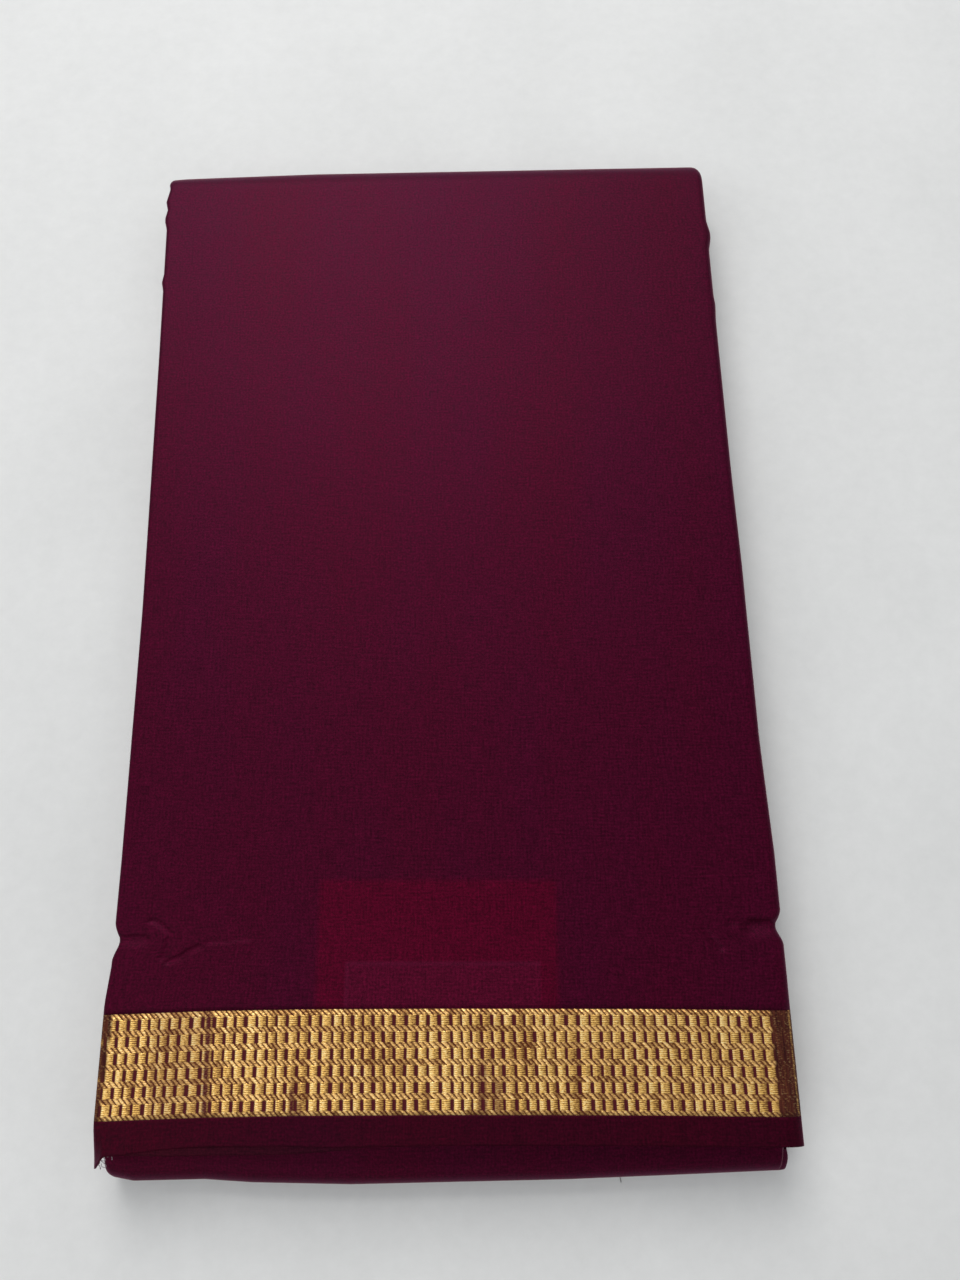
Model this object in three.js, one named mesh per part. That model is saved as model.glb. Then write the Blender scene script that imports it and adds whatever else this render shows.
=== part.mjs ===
// A saree, folded flat for the shelf. The whole cloth is 5.5 m by 1.17 m. It is halved five times
// along its length into a strip of 32 layers, and the strip is folded in four across its width.
// Millimetres. The part lies on the plane z = 0, its length along y and its top face up. The
// near end, with the gold border, is at -y. The origin is the middle of the footprint.
import * as THREE from 'three';

const { clamp, degToRad, lerp, mapLinear, smoothstep } = THREE.MathUtils;

// Driving sizes of the folded cloth
const STRIP = 5;                // a strip of 32 layers, pressed
const HALF_WIDTH = 87;          // half the strip's width at rest, before the outline below
const WALL = 1;                 // a stretch of cloth that shows
const GAP = 0.3;                // between two stretches at a seam
const INSIDE_GAP = 0.4;         // between the outer cloth and the hidden layers under it
const FAR_FOLD_Y = 142;         // middle of the fold at the far end
const NEAR_FOLD_Y = -147;       // middle of the fold at the near end
const TOP_EDGE_Y = -140.4;      // near selvedge, on the top strip
const LOWER_EDGE_Y = -142.5;    // near selvedge, on the strip below it
const LOWER_SELVEDGE_END_Y = -118; // where the lower selvedge's wall gives way to hidden layers
const TUCK_END_Y = -138.5;      // how far the near fold's cloth runs in between the strips
const BORDER_NEAR_Y = -133.6;   // gold border, near line
const BORDER_FAR_Y = -108.8;    // gold border, far line
const HELD_BACK = { top: 0.6, lower: 0.5 }; // the hidden layers end this far behind an edge
const STEPS = { nose: 4, fold: 5, nearTurn: 8, farTurn: 10 }; // of each rounded form
const ROUNDED = 1000;           // points lie on thousandths, so that faces that touch meet exactly

// The strip's section. On the right all 32 layers turn round one fold. On the left the last
// folds lie open: noses of 16, 8 and 4 layers, and the free ends, each set back a little.
const RIGHT_NOSE = { reach: 4.5, half: STRIP / 2 };
const LEFT_NOSE = { reach: STRIP / 4, half: STRIP / 4 };
const LIP_END = -62;            // degrees: how far the outer cloth wraps under the right fold
const NOSE_8 = { setBack: 0.3 };
const NOSE_4 = { setBack: 1, half: STRIP / 16 };
const FREE_ENDS = { setBack: 1.4, height: STRIP / 8 };

// Heights of the four strips' middles, and the radii of the turns that join them
const LEVEL = { fourth: STRIP * 0.5, third: STRIP * 1.5, second: STRIP * 2.5, first: STRIP * 3.5 };
const TURN = { outer: STRIP * 1.5, inner: STRIP / 2, near: STRIP / 2 };

// Lines across and along the cloth where its surface is shaped
const COLUMNS = [-80, -76, -73, -70.5, -66, -56, -22, 22, 56, 66, 70, 75, 80];
const ROWS = [-143, TUCK_END_Y + GAP, BORDER_NEAR_Y, LOWER_SELVEDGE_END_Y + GAP, -108, -97, -95.3,
  -93.5, -92, -90.5, -88.5, -86.8, -84, -45, 0, 85, 99, 107, 121, 130];

// The outline from above: half widths on each side of the axis, pinched in near the border
const OUTLINE = [
  { y: -150, left: 88.6, right: 87.4 },
  { y: -143, left: 88.4, right: 88.0 },
  { y: -108, left: 88.0, right: 88.4 },
  { y: -97, left: 87.0, right: 88.8 },
  { y: -93.5, left: 85.9, right: 88.3 },
  { y: -90.5, left: 85.4, right: 87.0 },
  { y: -88.5, left: 85.9, right: 87.6 },
  { y: -84, left: 86.6, right: 88.4 },
  { y: -45, left: 86.1, right: 87.9 },
  { y: 0, left: 85.9, right: 87.4 },
  { y: 85, left: 86.4, right: 86.7 },
  { y: 99, left: 86.6, right: 87.1 },
  { y: 107, left: 87.5, right: 86.5 },
  { y: 121, left: 86.9, right: 87.4 },
  { y: 130, left: 88.0, right: 87.0 },
  { y: 152, left: 86.6, right: 86.4 },
];

// How far each fold and edge leans from a straight line across, by x: its shift along y
const TOP_EDGE = [
  { x: -88, shift: -1.2 }, { x: -84, shift: -0.9 }, { x: -78, shift: -0.4 },
  { x: -70, shift: 0.5 }, { x: -61, shift: 1.0 }, { x: -40, shift: 0.7 }, { x: -28, shift: 0.1 },
  { x: 0, shift: 0 }, { x: 40, shift: -0.9 }, { x: 88, shift: -2.3 },
];
const BORDER_LINE = [
  { x: -88, shift: 0.4 }, { x: -60, shift: 0.8 }, { x: -36, shift: 0.7 }, { x: 0, shift: 0.1 },
  { x: 26, shift: -0.5 }, { x: 55, shift: -1.2 }, { x: 88, shift: -2.3 },
];
const LOWER_EDGE = [
  { x: -88, shift: 0.5 }, { x: -71, shift: 0 }, { x: -41, shift: -0.3 }, { x: -29, shift: 0.2 },
  { x: -15, shift: 1.4 }, { x: 10, shift: 1.2 }, { x: 88, shift: -0.6 },
];
const NEAR_FOLD = [
  { x: -89, shift: 3.6 }, { x: -85, shift: 1.7 }, { x: -77, shift: 0.9 }, { x: -47, shift: 0.4 },
  { x: -23, shift: 0 }, { x: 28, shift: 0 }, { x: 60, shift: 0.6 }, { x: 80, shift: 1.0 },
  { x: 89, shift: 2.0 },
];
const FAR_FOLD = [
  { x: -88, shift: -1.6 }, { x: -82, shift: -0.9 }, { x: -56, shift: -0.3 }, { x: -30, shift: 0 },
  { x: 80, shift: 0 }, { x: 88, shift: -1.2 },
];

// The left corner of the top selvedge hangs out of the stack
const DROOP = { fromX: -83.5, toX: -86, forward: 2.6 };

// The main creases of the top strip, each a soft trough from one point to another
const TROUGHS = [
  { x0: -88, y0: -88.3, x1: -77, y1: -88.6, half: 2.2, depth: 0.7 },
  { x0: -76.6, y0: -85.3, x1: -71.6, y1: -89, half: 1.9, depth: 0.35 },
  { x0: -71.6, y0: -89, x1: -73.4, y1: -94.4, half: 1.9, depth: 0.35 },
  { x0: -73, y0: -95.2, x1: -64.5, y1: -92, half: 1.9, depth: 0.35 },
  { x0: 78, y0: -88.2, x1: 88, y1: -88.4, half: 2.2, depth: 0.7 },
  { x0: 66.4, y0: -88.4, x1: 71.2, y1: -94.2, half: 1.9, depth: 0.3 },
];

// The stack settles between its folds: its height there, as a share of the full height
const SETTLE = [
  { y: -152, share: 1 }, { y: -143, share: 0.99 }, { y: -90.5, share: 0.95 }, { y: 0, share: 0.93 },
  { y: 85, share: 0.95 }, { y: 130, share: 0.99 }, { y: 152, share: 1 },
];

const CLOTH = { color: 0x4a1030, roughness: 0.55, metalness: 0 };
const CLOTH_INSIDE = { color: 0x36091f, roughness: 0.6, metalness: 0 };
const GOLD = { color: 0xb98f45, roughness: 0.38, metalness: 0.6 };

// A value read from a short table by straight lines between its rows
function between(table, key, at, value) {
  if (at <= table[0][key]) return table[0][value];
  for (let i = 1; i < table.length; i += 1) {
    const a = table[i - 1];
    const b = table[i];
    if (at <= b[key]) return mapLinear(at, a[key], b[key], a[value], b[value]);
  }
  return table[table.length - 1][value];
}

// How deep the troughs are at a point of the top face
function troughDepth(x, y) {
  let deepest = 0;
  for (const { x0, y0, x1, y1, half, depth } of TROUGHS) {
    const run = (x1 - x0) ** 2 + (y1 - y0) ** 2;
    const along = clamp(((x - x0) * (x1 - x0) + (y - y0) * (y1 - y0)) / run, 0, 1);
    const off = Math.hypot(x - x0 - along * (x1 - x0), y - y0 - along * (y1 - y0));
    deepest = Math.max(deepest, depth * (1 - smoothstep(off, 0, half)));
  }
  return deepest;
}

// From the straight, even stack to the real one: the edges and folds lean, the sides follow the
// outline, the top strip sinks at its creases and the stack settles between its folds
function settled(x, y, z) {
  const inTopStrip = smoothstep(z, STRIP * 3, STRIP * 3 + GAP * 0.9);
  const aboveNearFold = smoothstep(z, STRIP * 2, STRIP * 2 + GAP);
  const inLowerEdge = aboveNearFold * (1 - inTopStrip);
  const borderShift = between(BORDER_LINE, 'x', x, 'shift');
  const topShift = y < BORDER_NEAR_Y
    ? mapLinear(y, BORDER_NEAR_Y, TOP_EDGE_Y, borderShift, between(TOP_EDGE, 'x', x, 'shift'))
    : borderShift * (1 - smoothstep(y, BORDER_FAR_Y, 0));
  const atEnd = (from, to) => smoothstep(-y, -from, -to);
  let shift = topShift * inTopStrip;
  shift += between(LOWER_EDGE, 'x', x, 'shift') * inLowerEdge * atEnd(TUCK_END_Y + GAP, LOWER_EDGE_Y);
  shift += between(NEAR_FOLD, 'x', x, 'shift') * (1 - aboveNearFold) * atEnd(TUCK_END_Y, NEAR_FOLD_Y);
  shift += between(FAR_FOLD, 'x', x, 'shift') * smoothstep(y, FAR_FOLD_Y, FAR_FOLD_Y + TURN.outer);
  const droop = smoothstep(-x, -DROOP.fromX, -DROOP.toX)
    * smoothstep(z, LEVEL.first - GAP, LEVEL.first) * atEnd(BORDER_NEAR_Y, TOP_EDGE_Y);
  shift -= DROOP.forward * droop;
  const side = x < 0 ? 'left' : 'right';
  const width = between(OUTLINE, 'y', y, side) / HALF_WIDTH;
  const sink = troughDepth(x * width, y) * clamp((z - STRIP * 3) / STRIP, 0, 1);
  const height = (z - sink) * between(SETTLE, 'y', y, 'share');
  return [x * width, y + shift, height].map((v) => Math.round(v * ROUNDED) / ROUNDED);
}

// Points of an elliptic arc in the section, x across and n out of the strip, in degrees
function arc(x, n, reachX, reachN, from, to, steps) {
  const points = [];
  for (let i = 0; i <= steps; i += 1) {
    const angle = degToRad(lerp(from, to, i / steps));
    points.push([x + reachX * Math.cos(angle), n + reachN * Math.sin(angle)]);
  }
  return points;
}

// A flat run of the section at height n
function flatRun(n) {
  return COLUMNS.map((x) => [x, n]);
}

// The outer cloth as a wall: over the left nose, across the face and round the right fold. In a
// section, the point at place first + k faces the one k places before the end, up to last.
function wallSection() {
  const leftX = -HALF_WIDTH + LEFT_NOSE.reach;
  const leftN = STRIP / 2 - LEFT_NOSE.half;
  const rightX = HALF_WIDTH - RIGHT_NOSE.reach;
  const side = (inset) => [
    ...arc(leftX, leftN, LEFT_NOSE.reach - inset, LEFT_NOSE.half - inset, 270, 90, STEPS.nose),
    ...flatRun(STRIP / 2 - inset),
    ...arc(rightX, 0, RIGHT_NOSE.reach - inset, RIGHT_NOSE.half - inset, 90, LIP_END, STEPS.fold),
  ];
  const points = [...side(0), ...side(WALL).reverse()];
  return { points, first: 0, last: points.length / 2 - 1 };
}

// The left side of a hidden strip below its 16-layer nose: free ends, then 4 and 8 layers
function openEdges() {
  const left = -HALF_WIDTH;
  const free = left + FREE_ENDS.setBack;
  const endsTop = -STRIP / 2 + FREE_ENDS.height;
  const midN4 = endsTop + NOSE_4.half;
  const low8 = midN4 + NOSE_4.half;
  const half8 = (-INSIDE_GAP - low8) / 2;
  return [
    [free, -STRIP / 2],
    [free, endsTop],
    ...arc(left + NOSE_4.setBack + NOSE_4.half, midN4, NOSE_4.half, NOSE_4.half, 250, 110, 2),
    ...arc(left + NOSE_8.setBack + half8, low8 + half8, half8, half8, 270, 90, 3),
  ];
}

// A section from its left side, its face, its right side and its inner face
function closedSection(left, faceN, right, innerN) {
  const points = [...left, ...flatRun(faceN), ...right, ...flatRun(innerN).reverse()];
  return { points, first: left.length, last: left.length + COLUMNS.length - 1 };
}

// A hidden strip under the outer cloth, smaller all round by the wall and the gap. It has as many
// points as the open section below, because one runs into the other.
function coveredSection() {
  const inset = WALL + INSIDE_GAP;
  const rightX = HALF_WIDTH - RIGHT_NOSE.reach;
  const leftX = -HALF_WIDTH + LEFT_NOSE.reach + INSIDE_GAP;
  const face = STRIP / 2 - inset;
  const ledge = Array(STEPS.nose).fill([leftX, -INSIDE_GAP]);
  const left = [...openEdges(), ...ledge, [leftX, face]];
  const right = [
    ...arc(rightX, 0, RIGHT_NOSE.reach - inset, RIGHT_NOSE.half - inset, 90, LIP_END, STEPS.fold),
    [rightX, -STRIP / 2],
  ];
  return closedSection(left, face, right, -STRIP / 2);
}

// A hidden strip whose folds show at the sides, or only the layers of it between two heights
function openSection(faceN, innerN) {
  const leftX = -HALF_WIDTH + LEFT_NOSE.reach;
  const leftN = STRIP / 2 - LEFT_NOSE.half;
  const rightX = HALF_WIDTH - RIGHT_NOSE.reach;
  const nose = arc(leftX, leftN, LEFT_NOSE.reach, LEFT_NOSE.half, 255, 90, STEPS.nose);
  const fold = arc(rightX, 0, RIGHT_NOSE.reach, RIGHT_NOSE.half, 90, -90, STEPS.fold + 1);
  const held = (side) => {
    const inside = side.filter(([, n]) => n < faceN && n > innerN);
    const closer = (n) => (a, b) => (Math.abs(b[1] - n) < Math.abs(a[1] - n) ? b : a);
    const nearest = (n) => inside.reduce(closer(n))[0];
    return side.map(([x, n]) => {
      if (n > faceN) return [nearest(faceN), faceN];
      return n < innerN ? [nearest(innerN), innerN] : [x, n];
    });
  };
  return closedSection(held([...openEdges(), ...nose]), faceN, held(fold), innerN);
}

// Stations along a straight run of the strip, with its outer face up (1) or down (-1)
function straight(rows, z, up, section) {
  return rows.map((y) => ({ y, z, outY: 0, outZ: up, section }));
}

// Stations round a turn of the strip. The outer face looks away from the middle (1) or to it (-1).
function turn(y, z, radius, from, to, steps, facing, section) {
  const stations = [];
  for (let i = 0; i <= steps; i += 1) {
    const angle = degToRad(lerp(from, to, i / steps));
    const outY = Math.cos(angle);
    const outZ = Math.sin(angle);
    stations.push({
      y: y + radius * outY, z: z + radius * outZ, outY: outY * facing, outZ: outZ * facing, section,
    });
  }
  return stations;
}

// The faces that close a section, in slices between the pairs of points that face each other
function capFaces({ points, first, last }) {
  const count = points.length;
  const mirror = (i) => count - 1 - (i - first);
  const slices = [[...Array(first + 1).keys()].concat(count > mirror(first) ? mirror(first) : [])];
  slices.push([...Array(mirror(last) - last + 1).keys()].map((k) => last + k));
  for (let i = first; i < last; i += 1) slices.push([i, i + 1, mirror(i + 1), mirror(i)]);
  return slices.filter((slice) => slice.length > 2).flatMap((slice) => {
    const flat = slice.map((i) => new THREE.Vector2(...points[i]));
    const faces = THREE.ShapeUtils.triangulateShape(flat, []);
    const same = THREE.ShapeUtils.area(faces[0].map((i) => flat[i])) * THREE.ShapeUtils.area(flat) > 0;
    return faces.map((face) => (same ? face : [...face].reverse()).map((i) => slice[i]));
  });
}

// The strip's section carried along its stations, closed at both ends and settled into its real
// form. Where one strip lies on the next their faces meet, and both are left out. Faces that lie
// one over the other are cut along the same diagonal, so the gap between them stays even.
function swept(stations) {
  const places = new Map();
  const position = [];
  const placeOf = (point) => {
    const key = point.join();
    if (!places.has(key)) {
      places.set(key, position.length / 3);
      position.push(...point);
    }
    return places.get(key);
  };
  const rings = stations.map(({ y, z, outY, outZ, section }) => section.points.map(
    ([x, n]) => placeOf(settled(x, y + n * outY, z + n * outZ))));
  const faces = new Map();
  const addFace = (corners) => {
    const face = corners.filter((corner, i) => corner !== corners[(i + 1) % corners.length]);
    const key = [...face].sort((a, b) => a - b).join();
    if (face.length < 3) return;
    if (!faces.delete(key)) faces.set(key, face);
  };
  for (let r = 0; r + 1 < rings.length; r += 1) {
    const [near, far] = [rings[r], rings[r + 1]];
    near.forEach((corner, i) => {
      const j = (i + 1) % near.length;
      addFace([corner, near[j], far[j], far[i]]);
    });
  }
  const [start, end] = [rings[0], rings[rings.length - 1]];
  capFaces(stations[0].section).forEach((face) => addFace([...face].reverse().map((i) => start[i])));
  capFaces(stations[stations.length - 1].section).forEach((face) => addFace(face.map((i) => end[i])));
  const place = (i) => position[i * 3] + position[i * 3 + 1];
  const along = (i, j) => Math.abs(place(i) - place(j));
  const index = [...faces.values()].flatMap(([a, b, c, d]) => {
    if (d === undefined) return [a, b, c];
    return along(a, c) > along(b, d) ? [a, b, c, a, c, d] : [a, b, d, b, c, d];
  });
  const geometry = new THREE.BufferGeometry();
  geometry.setAttribute('position', new THREE.Float32BufferAttribute(position, 3));
  geometry.setIndex(signedVolume(position, index) > 0 ? index : index.reverse());
  return geometry;
}

// Six times the signed volume, which is positive when the faces point out
function signedVolume(position, index) {
  const corner = (i) => new THREE.Vector3().fromArray(position, index[i] * 3);
  let total = 0;
  for (let i = 0; i < index.length; i += 3) {
    total += corner(i).dot(corner(i + 1).cross(corner(i + 2)));
  }
  return total;
}

// A named piece
function piece(name, geometry, finish) {
  geometry.computeVertexNormals();
  const mesh = new THREE.Mesh(geometry, new THREE.MeshStandardMaterial(finish));
  mesh.name = name;
  return mesh;
}

// The rows of a table between two ends, with the ends themselves
function span(rows, from, to) {
  return [from, ...rows.filter((y) => y > from + 1 && y < to - 1), to];
}

// A stretch of the outer cloth on the top strip, between two lines across it
function topStretch(name, from, to, finish) {
  return piece(name, swept(straight(span(ROWS, from, to), LEVEL.first, 1, wallSection())), finish);
}

// The outer cloth round the far end
function farFold() {
  const stations = turn(FAR_FOLD_Y, STRIP * 2, TURN.outer, 90, -90, STEPS.farTurn, 1, wallSection());
  return piece('far_fold', swept(stations), CLOTH);
}

// The outer cloth under the stack, flat where it rests
function underStretch() {
  const rows = span(ROWS, NEAR_FOLD_Y + GAP, FAR_FOLD_Y - GAP);
  return piece('under_stretch', swept(straight(rows, LEVEL.fourth, -1, wallSection())), CLOTH);
}

// The outer cloth round the near end, running in under the lower selvedge
function nearFold() {
  const wall = wallSection();
  const stations = [
    ...turn(NEAR_FOLD_Y, STRIP, TURN.near, 270, 90, STEPS.nearTurn, 1, wall),
    ...straight(span(ROWS, NEAR_FOLD_Y, TUCK_END_Y).slice(1), LEVEL.third, 1, wall),
  ];
  return piece('near_fold', swept(stations), CLOTH);
}

// The near end of the second strip: its selvedge shows below the top one
function lowerSelvedge() {
  const top = STRIP / 2 - GAP;
  const right = HALF_WIDTH - RIGHT_NOSE.reach;
  const left = -HALF_WIDTH + FREE_ENDS.setBack;
  const face = (n) => [[left, n], ...flatRun(n), [right, n]];
  const points = [...face(top), ...face(top - WALL).reverse()];
  const section = { points, first: 0, last: points.length / 2 - 1 };
  const rows = span(ROWS, LOWER_EDGE_Y, LOWER_SELVEDGE_END_Y);
  return piece('lower_selvedge', swept(straight(rows, LEVEL.second, 1, section)), CLOTH);
}

// All layers that the outer cloth hides: one strip all the way from the top selvedge round the
// far end, under, round the near end, back, round again inside, and out to the lower selvedge
function hiddenLayers() {
  const half = STRIP / 2;
  const covered = coveredSection();
  const open = openSection(half, -half);
  const selvedgeN = -(half - GAP - WALL - INSIDE_GAP);
  const underSelvedge = openSection(half, selvedgeN);
  const overTuck = openSection(half - INSIDE_GAP, selvedgeN);
  const tuckY = TUCK_END_Y + GAP;
  const selvedgeY = LOWER_SELVEDGE_END_Y + GAP;
  const outward = (from, to, ...run) => straight(span(ROWS, from, to), ...run);
  const homeward = (...run) => outward(...run).reverse();
  return piece('hidden_layers', swept([
    ...outward(TOP_EDGE_Y + HELD_BACK.top, FAR_FOLD_Y, LEVEL.first, 1, covered),
    ...turn(FAR_FOLD_Y, STRIP * 2, TURN.outer, 90, -90, STEPS.farTurn, 1, covered).slice(1, -1),
    ...homeward(NEAR_FOLD_Y, FAR_FOLD_Y, LEVEL.fourth, -1, covered),
    ...turn(NEAR_FOLD_Y, STRIP, TURN.near, 270, 90, STEPS.nearTurn, 1, covered).slice(1, -1),
    ...outward(NEAR_FOLD_Y, tuckY, LEVEL.third, 1, covered),
    ...outward(tuckY, FAR_FOLD_Y, LEVEL.third, 1, open),
    ...turn(FAR_FOLD_Y, STRIP * 2, TURN.inner, -90, 90, STEPS.farTurn, -1, open).slice(1, -1),
    ...homeward(selvedgeY, FAR_FOLD_Y, LEVEL.second, -1, open),
    ...homeward(tuckY, selvedgeY, LEVEL.second, -1, underSelvedge),
    ...homeward(LOWER_EDGE_Y + HELD_BACK.lower, tuckY, LEVEL.second, -1, overTuck),
  ]), CLOTH_INSIDE);
}

const saree = new THREE.Group();
saree.name = 'saree';
saree.add(
  topStretch('near_selvedge', TOP_EDGE_Y, BORDER_NEAR_Y - GAP, CLOTH),
  topStretch('gold_border', BORDER_NEAR_Y, BORDER_FAR_Y, GOLD),
  topStretch('top_stretch', BORDER_FAR_Y + GAP, FAR_FOLD_Y - GAP, CLOTH),
  farFold(),
  underStretch(),
  nearFold(),
  lowerSelvedge(),
  hiddenLayers(),
);

export default saree;
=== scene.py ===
import math

import bpy
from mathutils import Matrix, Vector, noise


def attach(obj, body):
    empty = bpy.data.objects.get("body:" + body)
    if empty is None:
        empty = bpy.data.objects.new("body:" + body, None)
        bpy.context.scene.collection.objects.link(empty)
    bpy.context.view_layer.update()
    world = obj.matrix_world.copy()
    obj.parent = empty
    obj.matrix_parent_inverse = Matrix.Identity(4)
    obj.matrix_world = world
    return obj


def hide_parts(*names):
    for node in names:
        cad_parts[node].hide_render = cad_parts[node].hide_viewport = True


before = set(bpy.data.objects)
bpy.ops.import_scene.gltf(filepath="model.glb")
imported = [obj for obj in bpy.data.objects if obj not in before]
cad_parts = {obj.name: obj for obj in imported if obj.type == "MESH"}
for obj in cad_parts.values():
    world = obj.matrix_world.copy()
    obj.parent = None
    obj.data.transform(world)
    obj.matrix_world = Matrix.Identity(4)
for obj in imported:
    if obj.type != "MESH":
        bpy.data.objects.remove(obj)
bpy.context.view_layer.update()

# The view. The picture is taken from above the near half, tilted a little to the far end.
camera_data = bpy.data.cameras.new("camera")
camera_data.lens = 27.03
camera_data.sensor_width = 36
camera_data.clip_start = 0.01
camera = bpy.data.objects.new("camera", camera_data)
camera.location = (0.00951, -0.08265, 0.28122)
camera.rotation_euler = [math.radians(a) for a in (15.262, 0.083, -1.225)]
bpy.context.scene.collection.objects.link(camera)
bpy.context.scene.camera = camera
bpy.context.scene.view_settings.view_transform = "Standard"


# The body of the saree: plain silk, dark wine shot with purple, woven with the border in one
# piece. Its outermost layer runs from the border over the top, round the far fold, under the
# stack, round the near fold and in between the strips. Millimetres, up to the mesh itself.
STRIP = 5.0             # a strip of 32 layers, pressed
HALF_WIDTH = 87.0
FAR_FOLD_Y = 142.0
NEAR_FOLD_Y = -147.0
TOP_EDGE_Y = -140.4
LOWER_EDGE_Y = -142.5
TUCK_END_Y = -138.5
BORDER_NEAR_Y = -133.6
BORDER_FAR_Y = -108.8
CLOTH_THICK = 0.35
NOSE_REACH = 1.25       # the fold of 16 layers on the left
FOLD_REACH = 4.5        # the fold of all 32 layers on the right
FLAT_REACH = 2.2        # the same fold where it's pressed flat, away from the stiff border
NEAR_REACH = 1.0        # and pressed flatter still in the lowest strip, at the near fold
LIP_END = -62           # degrees, how far the outer layer goes round under that fold
CORNER_FORWARD = 3.2    # the left corner of the top selvedge hangs out of the stack
CORNER_DOWN = 3.0
HELD_BACK = 2.4         # the middle strips lie back from the right side at the near end

# Half the width along each long side, and the places where a side is pinched in or swells out:
# where, how far out, how long to each way
LEFT_SIDE = ((-152, 88.5), (-106, 88.0), (-97, 87.0), (-70, 86.5), (0, 86.0), (80, 86.5), (145, 87.0))
LEFT_DENTS = ((-91, -1.4, 5), (108, 0.5, 3), (131, 0.7, 4), (137.5, 0.6, 3), (142.5, -0.4, 2.5))
RIGHT_SIDE = ((-152, 87.5), (-143, 88.5), (-70, 88.5), (-40, 87.5), (10, 87.5), (40, 87.0), (150, 86.5))
RIGHT_DENTS = ((-88.5, -1.5, 4.5), (96.5, 0.3, 4), (122, 0.9, 6))
# How far an edge, a line or a fold leans from straight: where across, how far along
TOP_EDGE = (
    (-88, -1.2), (-84, -0.9), (-78, -0.4), (-70, 0.5), (-61, 1.0), (-40, 0.7), (-28, 0.1),
    (0, 0.0), (40, -0.9), (88, -2.3),
)
BORDER_LINE = (
    (-88, 0.4), (-60, 0.8), (-36, 0.7), (0, 0.1), (26, -0.5), (55, -1.2), (88, -2.3),
)
LOWER_EDGE = (
    (-88, 0.5), (-71, 0.0), (-41, -0.3), (-29, 0.2), (-15, 1.4), (10, 1.2), (88, -0.6),
)
NEAR_FOLD = (
    (-89, 5.0), (-85, 3.0), (-80, 2.0), (-62, 2.0), (-50, 1.0), (-25, 0.0), (30, 0.0), (60, 0.5),
    (89, 1.0),
)
FAR_FOLD = ((-88, -1.5), (-82, -1.0), (-40, 0.0), (84, 0.0), (88, -1.2))
# The stack settles between its folds: where along, its share of the full height
SETTLE = (
    (-152, 1.0), (-143, 0.99), (-90.5, 0.95), (0, 0.93), (85, 0.95), (130, 0.99), (152, 1.0),
)
# Creases of the top strip: the points they pass, half their width and their depth. They lie in
# the plain cloth beside the border, and one is in the margin, at the corner that hangs out.
CREASED_NEAR = -100.5
CREASED_FAR = -83
NEAR_WALL = 3.2         # a crease's near wall is this many times wider than its far wall
CREASES = (
    (((-89, -90), (-78.5, -90)), 1.1, 0.70),
    (((-77, -85.5), (-75.5, -86), (-73.5, -87.5), (-72, -89)), 0.6, 0.60),
    (((-72, -89), (-72.5, -91), (-73, -93), (-73.5, -95)), 0.6, 0.45),
    (((-69, -88.5), (-69, -90.5)), 0.5, 0.14),
    (((-72, -96), (-69, -95), (-67.5, -94), (-65.5, -93), (-64, -92.5)), 0.6, 0.60),
    (((-62, -91.5), (-57, -91.5), (-55, -91), (-51, -91)), 0.5, 0.30),
    (((-51, -96), (-50, -92)), 0.8, 0.14),
    (((75, -87), (81, -87.5)), 0.7, 0.45),
    (((80, -87.5), (89, -87.5)), 1.4, 1.25),
    (((67.5, -85), (67.5, -89)), 0.5, 0.14),
    (((67.5, -89), (69, -90.5), (70, -92), (71.5, -93.5)), 0.6, 0.60),
    (((-84.5, -134.5), (-84, -141)), 0.6, 0.22),
)


def between(table, at):
    """A value read from a table by straight lines between its rows."""
    for (a, low), (b, high) in zip(table, table[1:]):
        if at <= b:
            t = min(1, max(0, (at - a) / (b - a)))
            return low + (high - low) * t
    return table[-1][1]


def eased(at, start, end):
    """From 0 at the start to 1 at the end, soft at both."""
    t = min(1, max(0, (at - start) / (end - start)))
    return t * t * (3 - 2 * t)


def half_width(side, dents, y):
    swell = sum(out * (1 - eased(abs(y - at), 0, reach)) for at, out, reach in dents)
    return between(side, y) + swell


def crease_depth(x, y):
    deep = 0.0
    for points, half, depth in CREASES:
        here = Vector((x, y))
        off = 99.0
        for a, b in zip(points, points[1:]):
            a, b = Vector(a), Vector(b)
            t = min(1, max(0, (here - a).dot(b - a) / (b - a).length_squared))
            away = here - a.lerp(b, t)
            off = min(off, away.length / (NEAR_WALL if away.y < 0 else 1))
        deep = max(deep, depth * (1 - eased(off, 0, half)))
    return deep


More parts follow.
